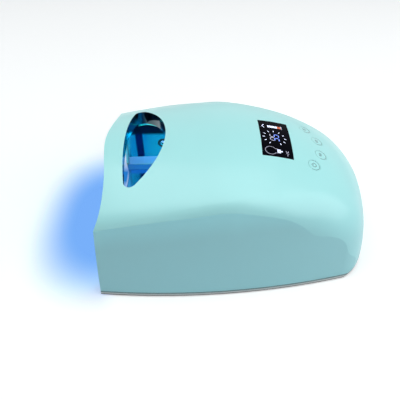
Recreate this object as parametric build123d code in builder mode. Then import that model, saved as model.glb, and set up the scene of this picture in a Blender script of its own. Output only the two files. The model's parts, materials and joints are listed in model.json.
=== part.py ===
from build123d import *
import os
from math import atan, copysign, cos, degrees, radians, sin, sqrt, tan

# Cordless LED nail lamp. Millimetres, +Z up, hand opening towards -Y, origin at the middle of the footprint.

# Overall sizes
body_width = 205.8
body_height = 106.4
front_y = -124.6
back_y = 124.8

# Plan outline of the side and back walls
widest_y = -71.8
side_radius = 665.0
back_radius = 740.0
back_corner_radius = 36.6
wall_lean = 9.0

# Roof line along the middle: a gentle rise to the peak, then a rounded fall to the back
peak_y = -11.8
front_fall = 0.000612
crown_reach = 137.8
crown_fall = 1.904
crown_square = 3.192
foot_travel = 47.6
form_start_y = -145.0
front_steps = 6
back_steps = 9

# Arch of the roof across the width at the front, the peak, the haunch and the back:
# how far it starts outside the wall, its lean in degrees, its shoulder radius and its crown radius
front_arch = (6.1, 7.0, 29.3, 139.7)
peak_arch = (2.4, 7.5, 22.9, 225.0)
haunch_arch = (3.3, 15.6, 46.6, 162.0)
back_arch = (9.4, 20.0, 44.6, 170.0)

# Walls and gaps
shell_wall = 2.6
liner_wall = 1.6
clearance = 0.3
part_gap = 0.3

# Base frame, feet and floor tray
foot_height = 1.2
foot_radius = 7.0
foot_inset = 19.0
foot_front_y = -105.0
foot_middle_y = -35.0
foot_rear_y = 98.0
base_bottom = foot_height
base_top = 4.4
tray_floor_z = 2.4
tray_half_width = 76.0
tray_front_y = -117.0
tray_back_y = 51.0
tray_lip_width = 60.0
tray_lip_depth = 3.0
tray_lip_height = 3.0
tray_thickness = 1.5
shell_bottom = base_top + part_gap

# Front rim: half of the wave in plan, from the middle of the handle to the side
rim_middle = (0.0, -123.0)
rim_hollow = (50.0, -118.1)
rim_side = (84.0, -121.4)
rim_corner = (body_width / 2 - 3.9, front_y)
fascia_depth = 13.0

# Finger window behind the handle: two arcs that meet in rounded tips
window_front_y = -104.8
window_back_y = -67.4
window_tip = (65.0, -99.2)
window_tip_radius = 6.0
skirt_wall = 2.0

# Reflector liner
liner_depth = 13.4
led_roof_front = (-59.0, body_height - 32.4)
led_roof_back = (49.0, body_height - 40.4)
liner_back_foot_y = 57.0
led_step_run = 6.0

# LEDs
led_radius = 2.9
led_hole_radius = 3.3
led_proud = 1.5
led_chamfer = 0.7
led_board_thickness = 1.6
led_board_gap = 2.0
top_led_columns = 4
top_led_rows = 3
top_led_pitch = 28.0
top_led_pitch_y = 30.0
top_board_length = 92.0
top_board_width = 116.0
side_led_count = 4
side_led_pitch = 28.0
side_led_z = 38.0
side_led_middle_y = -35.0
side_board_height = 22.0
side_board_length = 104.0

# Display
display_width = 56.3
display_length = 28.7
display_y = 33.2
display_lens = 2.2
display_gap = 0.2
display_module_depth = 6.0
display_module_thickness = 3.5
display_module_size = (50.0, 25.0)
display_board_size = (68.0, 36.0)

# Buttons
button_radius = 5.85
button_gap = 0.25
button_tilt = 22.0
inner_button = (10.8, 75.0)
outer_button = (28.0, 66.5)
button_travel = 0.8
button_stop_gap = 0.1
button_collar_radius = button_radius + 1.55
button_collar_height = 1.2
button_stem_radius = 2.0
button_guide_radius = button_radius + 2.15
button_guide_drop = 8.0
button_board_drop = 16.5
button_board_size = (90.0, 26.0)
button_board_shift = -4.0
switch_size = 6.0
switch_height = 3.5

# Battery pack
cell_radius = 9.2
cell_length = 65.2
cell_gap = 0.8
cell_pitch = 2 * cell_radius + cell_gap
cradle_z = 22.5
cradle_floor = 2.4
cradle_wall = 1.4
cradle_height = 10.0
cradle_width = 2 * (cell_length + cell_gap + cradle_wall + 0.6)
cradle_y = 78.5
cradle_depth = 2 * (cell_pitch + cradle_wall - 0.1)
clamp_width = 12.0
clamp_wall = 1.2

# Main board and charge socket
main_board_width = 110.0
main_board_depth = 40.0
main_board_y = 91.5
main_board_z = 8.6
board_thickness = 1.6
socket_z = 16.6
socket_bore = 2.8
socket_bore_depth = 9.5
socket_collar = 4.0
socket_width = 9.0
socket_length = 13.0
socket_height = 11.0
socket_pin_radius = 1.05

# Posts and screws
post_radius = 3.5
board_post_radius = 3.0
screw_radius = 1.3
screw_head_radius = 2.6
screw_head_height = 1.6
boss_inset = 9.0
boss_front_y = -92.7
boss_middle_y = -12.7
boss_rear_y = 79.3
boss_top = 24.0
boss_rib = 2.0
screw_length = 14.0

# Magnets
magnet_radius = 4.0
magnet_height = 0.8
magnet_x = 68.0
magnet_front_y = -95.0
magnet_back_y = 35.0


def crown_height(y):
    """Height of the roof line on the middle plane."""
    if y <= peak_y:
        return body_height - front_fall * (y - peak_y) ** 2
    reach = (y - peak_y) / crown_reach
    return body_height * (1 - reach ** crown_fall) ** (1 / crown_square)


def crown_slope(y):
    """Fall of the roof line in degrees, downwards to the back."""
    return degrees(atan((crown_height(y - 0.5) - crown_height(y + 0.5)) / 1.0))


def mix(start, end, share):
    return tuple(a + (b - a) * share for a, b in zip(start, end))


def half_width(y):
    """Half width of the plan outline at y, before the back corners."""
    return body_width / 2 - side_radius + sqrt(side_radius ** 2 - (y - widest_y) ** 2)


def roof_stations():
    """Apex, foot and arch of each roof section, from the front to the back."""
    places = []
    for step in range(front_steps, -1, -1):
        share = step / front_steps
        y = peak_y + (form_start_y - peak_y) * share
        places.append(((y, crown_height(y)), y, mix(peak_arch, front_arch, share)))
    for step in range(1, back_steps + 1):
        share = step / back_steps
        y = peak_y + crown_reach * sin(radians(90 * share))
        if share < 0.5:
            arch = mix(peak_arch, haunch_arch, share * 2)
        else:
            arch = mix(haunch_arch, back_arch, share * 2 - 1)
        height = crown_height(y) if step < back_steps else 0.0
        places.append(((y, height), peak_y + foot_travel * share, arch))
    return places


def arch_outline(rise, wall, arch, inset):
    """Draws one section of the roof: leaning wall, shoulder arc and crown arc, mirrored."""
    outside, lean, shoulder, crown = arch
    top = rise - inset
    half = wall + outside - inset / cos(radians(lean))
    shoulder = shoulder - inset
    crown = crown - inset
    out = Vector(cos(radians(lean)), sin(radians(lean)))
    climb = Vector(-sin(radians(lean)), cos(radians(lean)))
    middle = Vector(0, top - crown)
    start = Vector(half, 0) - out * shoulder
    toward = (start - middle).dot(climb)
    climbed = -toward + sqrt(toward ** 2 - (start - middle).length ** 2 + (crown - shoulder) ** 2)
    centre = start + climb * climbed
    crown_way = (centre - middle).normalized()
    wall_end = centre + out * shoulder
    crown_end = centre + crown_way * shoulder
    bend = centre + (out + crown_way).normalized() * shoulder
    Line((half, 0), (wall_end.X, wall_end.Y))
    ThreePointArc((wall_end.X, wall_end.Y), (bend.X, bend.Y), (crown_end.X, crown_end.Y))
    ThreePointArc((crown_end.X, crown_end.Y), (0, top), (-crown_end.X, crown_end.Y))
    ThreePointArc((-crown_end.X, crown_end.Y), (-bend.X, bend.Y), (-wall_end.X, wall_end.Y))
    Line((-wall_end.X, wall_end.Y), (-half, 0))
    Line((-half, 0), (half, 0))


def plan_outline(inset):
    """Draws the plan of the side and back walls, drawn in by inset."""
    for side in (-1, 1):
        with Locations((side * (side_radius - body_width / 2), widest_y)):
            Circle(side_radius - inset, mode=Mode.ADD if side < 0 else Mode.INTERSECT)
    with Locations((0, back_y - back_radius)):
        Circle(back_radius - inset, mode=Mode.INTERSECT)
    with Locations((0, form_start_y)):
        Rectangle(2 * body_width, 2 * (back_y - form_start_y), align=(Align.CENTER, Align.MIN),
                  mode=Mode.INTERSECT)


def wall_form(inset):
    """The side and back walls as a leaning block, drawn in by inset."""
    with BuildPart() as walls:
        for height in (0.0, body_height + 20):
            drawn_in = inset + height * tan(radians(wall_lean))
            with BuildSketch(Plane.XY.offset(height)) as plan:
                plan_outline(drawn_in)
                fillet(plan.vertices().group_by(Axis.Y)[-1], back_corner_radius - drawn_in)
        loft(ruled=True)
    return walls.part


def body_form(inset):
    """The lamp's solid form, drawn in by inset on every side but the bottom."""
    with BuildPart() as form:
        for (apex_y, apex_z), foot_y, arch in roof_stations():
            up = Vector(0, apex_y - foot_y, apex_z)
            plane = Plane(origin=(0, foot_y, 0), x_dir=(1, 0, 0), z_dir=Vector(1, 0, 0).cross(up.normalized()))
            with BuildSketch(plane):
                with BuildLine():
                    arch_outline(up.length, half_width(foot_y), arch, inset)
                make_face()
        loft()
        add(wall_form(inset), mode=Mode.INTERSECT)
    return form.part


def behind_rim(setback):
    """Plan of everything behind the front rim, set back from it."""
    far = body_width
    points = [rim_middle, rim_hollow, rim_side, rim_corner]
    half = [(x, y + setback) for x, y in points]
    edge = half[-1][1]
    with BuildSketch() as plan:
        with BuildLine():
            Spline(*[(-x, y) for x, y in reversed(half)], *half[1:], tangents=((1, 0), (1, 0)))
            Line(half[-1], (far, edge))
            Polyline((far, edge), (far, back_y + 40), (-far, back_y + 40), (-far, edge))
            Line((-far, edge), (-half[-1][0], edge))
        make_face()
    return plan.sketch


def window_outline(grow):
    """Plan of the half-moon window, grown by the given amount."""
    tip_x, tip_y = window_tip
    with BuildSketch() as moon:
        with BuildLine():
            ThreePointArc((-tip_x, tip_y), (0, window_front_y), (tip_x, tip_y))
            ThreePointArc((tip_x, tip_y), (0, window_back_y), (-tip_x, tip_y))
        make_face()
        fillet(moon.vertices(), window_tip_radius)
        if grow:
            offset(amount=grow)
    return moon.sketch


def surface_plane(y, tilt, drop=0.0):
    """Plane on the roof's middle line at y, tilted back by tilt degrees and let down by drop."""
    normal = Vector(0, sin(radians(tilt)), cos(radians(tilt)))
    origin = Vector(0, y, crown_height(y)) - normal * drop
    return Plane(origin=origin, x_dir=(1, 0, 0), z_dir=normal)


outer_form = body_form(0.0)
inner_form = body_form(shell_wall)
fascia_form = body_form(fascia_depth)
liner_form = body_form(liner_depth)
cavity_form = body_form(liner_depth + liner_wall)

# Front fascia: the arch of wall that faces the hand, and the front of the handle
with BuildPart() as fascia:
    add(outer_form)
    add(fascia_form, mode=Mode.SUBTRACT)
    with BuildSketch(Plane.XY.offset(shell_bottom)) as strip:
        add(behind_rim(0.0))
    extrude(amount=body_height, mode=Mode.INTERSECT)
    with BuildSketch(Plane.XY) as back_of_strip:
        add(behind_rim(shell_wall))
    extrude(amount=body_height * 2, mode=Mode.SUBTRACT)

# Skirt that lines the finger window down to the liner
with BuildPart() as window_skirt:
    add(outer_form)
    add(fascia_form, mode=Mode.SUBTRACT)
    with BuildSketch(Plane.XY.offset(body_height / 2)) as ring:
        add(window_outline(skirt_wall))
    extrude(amount=body_height, mode=Mode.INTERSECT)

button_plane = surface_plane(inner_button[1], button_tilt)
button_places = [(-outer_button[0], outer_button[1]), (-inner_button[0], inner_button[1]),
                 (inner_button[0], inner_button[1]), (outer_button[0], outer_button[1])]


def on_button_plane(place):
    """Sketch coordinates, on the tilted button plane, of a place given in plan."""
    x, y = place
    return (x, (y - inner_button[1]) / cos(radians(button_tilt)))


button_spots = [on_button_plane(place) for place in button_places]
display_plane = surface_plane(display_y, crown_slope(display_y))

with BuildPart() as button_guides:
    with BuildSketch(button_plane.offset(-button_guide_drop)):
        with Locations(*button_spots):
            Circle(button_guide_radius)
    extrude(amount=button_guide_drop + 8)
    add(outer_form, mode=Mode.INTERSECT)

display_post_spots = [(x, y) for x in (-31, 31) for y in (-12, 12)]
button_post_spots = [(-40, -8), (0, -4), (40, -8)]
display_board_drop = display_lens + display_module_depth
with BuildPart() as board_bosses:
    with BuildSketch(display_plane.offset(-display_board_drop)):
        with Locations(*display_post_spots):
            Circle(2.4)
    extrude(amount=display_board_drop + 6)
    with BuildSketch(button_plane.offset(-button_board_drop)):
        with Locations(*button_post_spots):
            Circle(2.2)
    extrude(amount=button_board_drop + 6)
    add(outer_form, mode=Mode.INTERSECT)

screw_spots = [(side * (half_width(y) - boss_inset), y) for side in (-1, 1)
               for y in (boss_front_y, boss_middle_y, boss_rear_y)]
with BuildPart() as shell_bosses:
    with BuildSketch(Plane.XY.offset(shell_bottom)):
        for x, y in screw_spots:
            with Locations((x, y)):
                Circle(post_radius)
            with Locations((x + copysign(boss_inset / 2, x), y)):
                Rectangle(boss_inset, boss_rib)
    extrude(amount=boss_top - shell_bottom)
    add(outer_form, mode=Mode.INTERSECT)

with BuildPart() as outer_shell:
    add(outer_form)
    add(inner_form, mode=Mode.SUBTRACT)
    with BuildSketch(Plane.XY.offset(shell_bottom)):
        add(behind_rim(0.0))
    extrude(amount=body_height * 2, mode=Mode.INTERSECT)
    add(fascia.part)
    add(window_skirt.part)
    add(button_guides.part)
    add(shell_bosses.part)
    add(board_bosses.part)
    with BuildSketch(Plane.XY.offset(body_height / 2)):
        add(window_outline(0))
    extrude(amount=body_height, mode=Mode.SUBTRACT)
    with BuildSketch(display_plane.offset(-8)):
        Rectangle(display_width, display_length)
    extrude(amount=16, mode=Mode.SUBTRACT)
    with BuildSketch(button_plane.offset(-button_guide_drop - 2)):
        with Locations(*button_spots):
            Circle(button_radius + button_gap)
    extrude(amount=20, mode=Mode.SUBTRACT)
    with BuildSketch(Plane.XY.offset(shell_bottom)):
        with Locations(*screw_spots):
            Circle(screw_radius + 0.05)
    extrude(amount=boss_top - shell_bottom - 4, mode=Mode.SUBTRACT)
    with BuildSketch(Plane.XZ.offset(-back_y - 5)):
        with Locations((0, socket_z)):
            Circle(socket_collar + clearance)
    extrude(amount=12, mode=Mode.SUBTRACT)
outer_shell.part.label = "outer_shell"

# Base frame: the light strip under the shell, with the tray's pocket and the rear posts
magnet_spots = [(x, y) for x in (-magnet_x, magnet_x) for y in (magnet_front_y, magnet_back_y)]
main_posts = [(x, y) for x in (-50, 50) for y in (main_board_y - 16, main_board_y + 16)]
cradle_posts = [(x, y) for x in (-61, 61) for y in (cradle_y - 14, cradle_y + 14)]
with BuildPart() as base_frame:
    add(outer_form)
    with BuildSketch(Plane.XY.offset(base_bottom)):
        add(behind_rim(0.0))
    extrude(amount=base_top - base_bottom, mode=Mode.INTERSECT)
    with BuildSketch(Plane.XY.offset(tray_floor_z)):
        with Locations((0, (front_y - 10 + tray_back_y + clearance) / 2)):
            Rectangle(2 * (tray_half_width + clearance), tray_back_y + clearance - front_y + 10)
    extrude(amount=base_top, mode=Mode.SUBTRACT)
    with BuildSketch(Plane.XY.offset(base_top)):
        with Locations(*main_posts):
            Circle(board_post_radius)
    extrude(amount=main_board_z - base_top)
    with BuildSketch(Plane.XY.offset(base_top)):
        with Locations(*cradle_posts):
            Circle(post_radius)
    extrude(amount=cradle_z - base_top)
    with BuildSketch(Plane.XY):
        with Locations(*screw_spots):
            Circle(screw_radius + clearance)
    extrude(amount=base_top + 1, mode=Mode.SUBTRACT)
    with BuildSketch(Plane.XY):
        with Locations(*screw_spots):
            Circle(screw_head_radius + clearance)
    extrude(amount=base_bottom + screw_head_height, mode=Mode.SUBTRACT)
    with BuildSketch(Plane.XY.offset(tray_floor_z)):
        with Locations(*magnet_spots):
            Circle(magnet_radius + 0.05)
    extrude(amount=-magnet_height, mode=Mode.SUBTRACT)
base_frame.part.label = "base_frame"

# Reflector liner: hand tunnel with a stepped LED roof, open at the front, below and under the handle
roof_mid_y = (led_roof_front[0] + led_roof_back[0]) / 2
roof_mid_z = (led_roof_front[1] + led_roof_back[1]) / 2
roof_pitch = degrees(atan((led_roof_front[1] - led_roof_back[1]) / (led_roof_back[0] - led_roof_front[0])))
led_plane = Plane(origin=(0, roof_mid_y, roof_mid_z), x_dir=(1, 0, 0),
                  z_dir=(0, sin(radians(roof_pitch)), cos(radians(roof_pitch))))


def tunnel_profile(wall):
    """Side view of the hand tunnel, drawn in by wall."""
    front_edge = form_start_y - 5
    with BuildSketch() as side_view:
        with BuildLine():
            Polyline((front_edge, base_top), (front_edge, body_height),
                     (led_roof_front[0] - led_step_run - wall, body_height),
                     (led_roof_front[0] - wall, led_roof_front[1] - wall),
                     (led_roof_back[0] - wall, led_roof_back[1] - wall),
                     (liner_back_foot_y - wall, base_top), (front_edge, base_top))
        make_face()
    return side_view.sketch


def handle_zone(grow):
    """Plan of the handle bar and finger window, grown by the given amount."""
    with BuildSketch() as zone:
        add(window_outline(grow))
        with Locations((0, window_tip[1])):
            Rectangle(2 * (window_tip[0] + grow), window_tip[1] - form_start_y,
                      align=(Align.CENTER, Align.MAX))
    return zone.sketch


sensor_spot = (0, -top_board_length / 2 - 3.2)
top_led_spots = [(top_led_pitch * (c - (top_led_columns - 1) / 2), top_led_pitch_y * (r - (top_led_rows - 1) / 2))
                 for c in range(top_led_columns) for r in range(top_led_rows)]
top_post_spots = [(x * (top_board_width / 2 - 5), y * (top_board_length / 2 - 5))
                  for x in (-1, 1) for y in (-1, 1)]
side_led_spots = [(side_led_pitch * (i - (side_led_count - 1) / 2), 0) for i in range(side_led_count)]
side_post_spots = [(end * (side_board_length / 2 - 5), 0) for end in (-1, 1)]


def side_plane(side):
    """Plane on the liner's outer face at the side LEDs, facing outwards, with x running to the back."""
    turn = atan((side_led_middle_y - widest_y) / side_radius)
    lean = radians(wall_lean)
    x = half_width(side_led_middle_y) - liner_depth - side_led_z * tan(lean)
    normal = (side * cos(lean) * cos(turn), cos(lean) * sin(turn), sin(lean))
    return Plane(origin=(side * x, side_led_middle_y, side_led_z), x_dir=(-side * sin(turn), cos(turn), 0),
                 z_dir=normal)


with BuildPart() as hand_space:
    add(cavity_form)
    with BuildSketch(Plane.YZ.offset(-body_width)):
        add(tunnel_profile(liner_wall))
    extrude(amount=2 * body_width, mode=Mode.INTERSECT)

with BuildPart() as liner_posts:
    with BuildSketch(led_plane):
        with Locations(*top_post_spots):
            Circle(board_post_radius)
    extrude(amount=led_board_gap)
    for side in (-1, 1):
        with BuildSketch(side_plane(side).offset(-4)):
            with Locations(*side_post_spots):
                Circle(board_post_radius)
        extrude(amount=4 + led_board_gap)

with BuildPart() as reflector_liner:
    add(liner_form)
    with BuildSketch(Plane.YZ.offset(-body_width)):
        add(tunnel_profile(0))
    extrude(amount=2 * body_width, mode=Mode.INTERSECT)
    add(liner_posts.part)
    add(hand_space.part, mode=Mode.SUBTRACT)
    with BuildSketch(Plane.XY.offset(base_top)):
        add(behind_rim(shell_wall + clearance))
    extrude(amount=body_height, mode=Mode.INTERSECT)
    with BuildSketch(Plane.XY.offset(led_roof_front[1] + 1)):
        add(handle_zone(skirt_wall + clearance))
    extrude(amount=body_height, mode=Mode.SUBTRACT)
    with BuildSketch(led_plane.offset(-10)):
        with Locations(*top_led_spots):
            Circle(led_hole_radius)
        with Locations(sensor_spot):
            Rectangle(9.6, 5.6)
    extrude(amount=20, mode=Mode.SUBTRACT)
    for side in (-1, 1):
        with BuildSketch(side_plane(side).offset(-6)):
            with Locations(*side_led_spots):
                Circle(led_hole_radius)
        extrude(amount=12, mode=Mode.SUBTRACT)
reflector_liner.part.label = "reflector_liner"

# Cover that closes the hollow handle bar from below
with BuildPart() as handle_cover:
    add(body_form(fascia_depth - 2.0))
    add(fascia_form, mode=Mode.SUBTRACT)
    with BuildSketch(Plane.XY.offset(body_height / 2)):
        add(behind_rim(shell_wall + clearance))
    extrude(amount=body_height, mode=Mode.INTERSECT)
    with BuildSketch(Plane.XY.offset(body_height / 2)):
        with Locations((0, (form_start_y + window_tip[1]) / 2)):
            Rectangle(2 * window_tip[0], window_tip[1] - form_start_y)
    extrude(amount=body_height, mode=Mode.INTERSECT)
    with BuildSketch(Plane.XY.offset(body_height / 2)):
        add(window_outline(skirt_wall + clearance))
    extrude(amount=body_height, mode=Mode.SUBTRACT)
handle_cover.part.label = "handle_cover"

# Floor tray that draws out to the front
with BuildPart() as floor_tray:
    with BuildSketch(Plane.XY.offset(tray_floor_z + clearance)):
        with Locations((0, (tray_back_y + tray_front_y) / 2)):
            RectangleRounded(2 * tray_half_width, tray_back_y - tray_front_y, 4)
    extrude(amount=tray_thickness)
    with BuildSketch(Plane.XY.offset(tray_floor_z + clearance + tray_thickness)):
        with Locations((0, tray_front_y + 2)):
            Rectangle(tray_lip_width, tray_lip_depth)
    extrude(amount=tray_lip_height)
    with BuildSketch(Plane.XY.offset(tray_floor_z + clearance)):
        with Locations(*magnet_spots):
            Circle(magnet_radius + 0.05)
    extrude(amount=magnet_height, mode=Mode.SUBTRACT)
floor_tray.part.label = "floor_tray"

# Magnets that hold the tray: one set in its underside, one in the base frame
with BuildPart() as tray_magnets:
    with BuildSketch(Plane.XY.offset(tray_floor_z + clearance)):
        with Locations(*magnet_spots):
            Circle(magnet_radius)
    extrude(amount=magnet_height)
tray_magnets.part.label = "tray_magnets"

with BuildPart() as base_magnets:
    with BuildSketch(Plane.XY.offset(tray_floor_z)):
        with Locations(*magnet_spots):
            Circle(magnet_radius)
    extrude(amount=-magnet_height)
base_magnets.part.label = "base_magnets"

# LED boards and their lamps
with BuildPart() as led_board_top:
    with BuildSketch(led_plane.offset(led_board_gap)):
        Rectangle(top_board_width, top_board_length)
    extrude(amount=led_board_thickness)
led_board_top.part.label = "led_board_top"

with BuildPart() as top_leds:
    with BuildSketch(led_plane.offset(-liner_wall - led_proud)):
        with Locations(*top_led_spots):
            Circle(led_radius)
    extrude(amount=liner_wall + led_proud + led_board_gap)
    chamfer(top_leds.faces().filter_by(lambda f: f.normal_at().Z < -0.9).edges(), led_chamfer)
top_leds.part.label = "top_leds"

side_lamps = {}
for name, side in (("left", -1), ("right", 1)):
    with BuildPart() as board:
        with BuildSketch(side_plane(side).offset(led_board_gap)):
            Rectangle(side_board_length, side_board_height)
        extrude(amount=led_board_thickness)
    board.part.label = "led_board_" + name
    with BuildPart() as lamps:
        with BuildSketch(side_plane(side).offset(led_board_gap)):
            with Locations(*side_led_spots):
                Circle(led_radius)
        extrude(amount=-(led_board_gap + liner_wall + led_proud))
        outward = Axis(side_plane(side).origin, side_plane(side).z_dir)
        inner_ends = lamps.faces().filter_by(side_plane(side)).sort_by(outward)[:side_led_count]
        chamfer(inner_ends.edges(), led_chamfer)
    lamps.part.label = name + "_leds"
    side_lamps[name] = (board, lamps)

# Hand sensor in the LED roof near the front
with BuildPart() as hand_sensor:
    with BuildSketch(led_plane.offset(-liner_wall - 1)):
        with Locations(sensor_spot):
            Rectangle(9, 5)
    extrude(amount=liner_wall + 1 + 3)
hand_sensor.part.label = "hand_sensor"

# Display: flush lens, module and its board
with BuildPart() as display_window:
    add(outer_form)
    add(body_form(display_lens), mode=Mode.SUBTRACT)
    with BuildSketch(display_plane.offset(-8)):
        Rectangle(display_width - 2 * display_gap, display_length - 2 * display_gap)
    extrude(amount=16, mode=Mode.INTERSECT)
display_window.part.label = "display_window"

with BuildPart() as display_module:
    with BuildSketch(display_plane.offset(-display_board_drop)):
        Rectangle(*display_module_size)
    extrude(amount=display_module_thickness)
display_module.part.label = "display_module"

with BuildPart() as display_board:
    with BuildSketch(display_plane.offset(-display_board_drop)):
        Rectangle(*display_board_size)
    extrude(amount=-board_thickness)
display_board.part.label = "display_board"

# Button caps
button_stem_length = (button_board_drop - switch_height - button_travel - button_stop_gap - button_guide_drop
                      - part_gap - button_collar_height)
button_names = ["time_button_30", "time_button_60", "time_button_99", "power_button"]
buttons = {}
for name, spot in zip(button_names, button_spots):
    with BuildPart() as cap:
        with BuildSketch(button_plane.offset(-button_guide_drop - part_gap)):
            with Locations(spot):
                Circle(button_radius)
        extrude(amount=button_guide_drop + 8)
        add(outer_form, mode=Mode.INTERSECT)
        with BuildSketch(button_plane.offset(-button_guide_drop - part_gap)):
            with Locations(spot):
                Circle(button_collar_radius)
        extrude(amount=-button_collar_height)
        with BuildSketch(button_plane.offset(-button_guide_drop - part_gap - button_collar_height)):
            with Locations(spot):
                Circle(button_stem_radius)
        extrude(amount=-button_stem_length)
    cap.part.label = name
    buttons[name] = cap

with BuildPart() as button_board:
    with BuildSketch(button_plane.offset(-button_board_drop)):
        with Locations((0, button_board_shift)):
            Rectangle(*button_board_size)
    extrude(amount=-board_thickness)
button_board.part.label = "button_board"

with BuildPart() as button_switches:
    with BuildSketch(button_plane.offset(-button_board_drop)):
        with Locations(*button_spots):
            Rectangle(switch_size, switch_size)
    extrude(amount=switch_height)
button_switches.part.label = "button_switches"

# Battery cradle, cells and clamps
cell_z = cradle_z + cradle_floor + cell_radius
cell_rows = (cradle_y - cell_pitch / 2, cradle_y + cell_pitch / 2)
with BuildPart() as battery_cradle:
    with BuildSketch(Plane.XY.offset(cradle_z)):
        with Locations((0, cradle_y)):
            RectangleRounded(cradle_width, cradle_depth, 3)
    extrude(amount=cradle_height)
    with BuildSketch(Plane.YZ.offset(-cradle_width / 2 + 1)):
        with Locations(*[(y, cell_z) for y in cell_rows]):
            Circle(cell_radius + 0.2)
    extrude(amount=cradle_width - 2, mode=Mode.SUBTRACT)
battery_cradle.part.label = "battery_cradle"

with BuildPart() as battery_cells:
    for start in (-cell_length - cell_gap, cell_gap):
        with BuildSketch(Plane.YZ.offset(start)):
            with Locations(*[(y, cell_z) for y in cell_rows]):
                Circle(cell_radius)
        extrude(amount=cell_length)
battery_cells.part.label = "battery_cells"

with BuildPart() as battery_clamps:
    strap_height = cell_z + cell_radius + clearance - cradle_z - cradle_height
    for x in (-cell_length / 2 - 7, cell_length / 2 - 5):
        with BuildSketch(Plane.YZ.offset(x)):
            with Locations((cradle_y, cradle_z + cradle_height)):
                Rectangle(cradle_depth - 0.4, strap_height + clamp_wall, align=(Align.CENTER, Align.MIN))
                Rectangle(cradle_depth - 0.4 - 2 * clamp_wall, strap_height, align=(Align.CENTER, Align.MIN),
                          mode=Mode.SUBTRACT)
        extrude(amount=clamp_width)
battery_clamps.part.label = "battery_clamps"

# Main board, its parts and the charge socket
with BuildPart() as main_board:
    with BuildSketch(Plane.XY.offset(main_board_z)):
        with Locations((0, main_board_y)):
            Rectangle(main_board_width, main_board_depth)
    extrude(amount=board_thickness)
main_board.part.label = "main_board"

socket_top = main_board_z + board_thickness + socket_height
socket_back = back_y - socket_top * tan(radians(wall_lean)) - shell_wall - clearance
with BuildPart() as charge_socket:
    with BuildSketch(Plane.XY.offset(main_board_z + board_thickness)):
        with Locations((0, socket_back - socket_length / 2)):
            Rectangle(socket_width, socket_length)
    extrude(amount=socket_height)
    with BuildSketch(Plane.XZ.offset(-socket_back)):
        with Locations((0, socket_z)):
            Circle(socket_collar)
    extrude(amount=-(shell_wall + 0.1))
    with BuildSketch(Plane.XZ.offset(-socket_back - shell_wall - 0.1)):
        with Locations((0, socket_z)):
            Circle(socket_bore)
            Circle(socket_pin_radius, mode=Mode.SUBTRACT)
    extrude(amount=socket_bore_depth, mode=Mode.SUBTRACT)
charge_socket.part.label = "charge_socket"

with BuildPart() as power_parts:
    with BuildSketch(Plane.XY.offset(main_board_z + board_thickness)):
        with Locations((-38, main_board_y + 6), (-24, main_board_y + 6)):
            Circle(4.5)
        with Locations((30, main_board_y + 4)):
            Rectangle(14, 14)
        with Locations((-30, main_board_y - 13), (30, main_board_y - 13)):
            Rectangle(20, 7)
    extrude(amount=8)
power_parts.part.label = "power_parts"

# Fasteners and feet
with BuildPart() as base_screws:
    with BuildSketch(Plane.XY.offset(base_bottom)):
        with Locations(*screw_spots):
            Circle(screw_head_radius)
    extrude(amount=screw_head_height)
    with BuildSketch(Plane.XY.offset(base_bottom + screw_head_height)):
        with Locations(*screw_spots):
            Circle(screw_radius)
    extrude(amount=screw_length)
base_screws.part.label = "base_screws"

foot_spots = [(s * (half_width(y) - foot_inset), y) for s in (-1, 1) for y in (foot_front_y, foot_middle_y)]
foot_spots += [(s * (half_width(foot_rear_y) - foot_inset), foot_rear_y) for s in (-1, 1)]
with BuildPart() as rubber_feet:
    with BuildSketch(Plane.XY):
        with Locations(*foot_spots):
            Circle(foot_radius)
    extrude(amount=foot_height)
rubber_feet.part.label = "rubber_feet"

os.makedirs("parts", exist_ok=True)
pieces = [outer_shell, base_frame, reflector_liner, handle_cover, floor_tray, led_board_top, top_leds, hand_sensor,
          display_window, display_module, display_board, button_board, button_switches, battery_cradle,
          battery_cells, battery_clamps, main_board, power_parts, charge_socket, tray_magnets, base_magnets,
          base_screws, rubber_feet]
pieces += [piece for pair in side_lamps.values() for piece in pair] + list(buttons.values())
for piece in pieces:
    export_step(piece.part, "parts/" + piece.part.label + ".step")
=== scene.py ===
import json
import logging
import math
from dataclasses import dataclass, field
from enum import Enum
from functools import cache

import bmesh
import bpy
import numpy as np
from mathutils import Matrix, Vector
from mathutils.bvhtree import BVHTree


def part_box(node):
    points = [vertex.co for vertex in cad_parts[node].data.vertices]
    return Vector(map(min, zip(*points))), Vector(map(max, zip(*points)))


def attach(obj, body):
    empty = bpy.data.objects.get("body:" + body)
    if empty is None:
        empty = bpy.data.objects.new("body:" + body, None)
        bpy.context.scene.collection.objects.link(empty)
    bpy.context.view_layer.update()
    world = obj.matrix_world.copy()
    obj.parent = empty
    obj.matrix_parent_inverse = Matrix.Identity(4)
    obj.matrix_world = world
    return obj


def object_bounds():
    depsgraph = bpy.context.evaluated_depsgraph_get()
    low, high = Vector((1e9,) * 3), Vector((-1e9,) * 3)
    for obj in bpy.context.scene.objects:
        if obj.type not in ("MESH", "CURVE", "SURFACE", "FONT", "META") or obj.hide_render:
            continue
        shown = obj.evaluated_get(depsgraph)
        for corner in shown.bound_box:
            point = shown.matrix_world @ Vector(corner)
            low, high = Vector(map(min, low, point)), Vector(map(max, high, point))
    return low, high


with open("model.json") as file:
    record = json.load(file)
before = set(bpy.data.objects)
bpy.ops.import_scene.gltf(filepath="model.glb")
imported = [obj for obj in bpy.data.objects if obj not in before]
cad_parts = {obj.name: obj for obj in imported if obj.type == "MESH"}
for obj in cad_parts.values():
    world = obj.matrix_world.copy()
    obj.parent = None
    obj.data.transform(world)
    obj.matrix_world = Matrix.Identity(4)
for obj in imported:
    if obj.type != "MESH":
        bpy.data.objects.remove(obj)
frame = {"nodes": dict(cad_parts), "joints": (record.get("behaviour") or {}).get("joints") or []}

cad_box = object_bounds()
log = logging.getLogger("nail_lamp")

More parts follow.
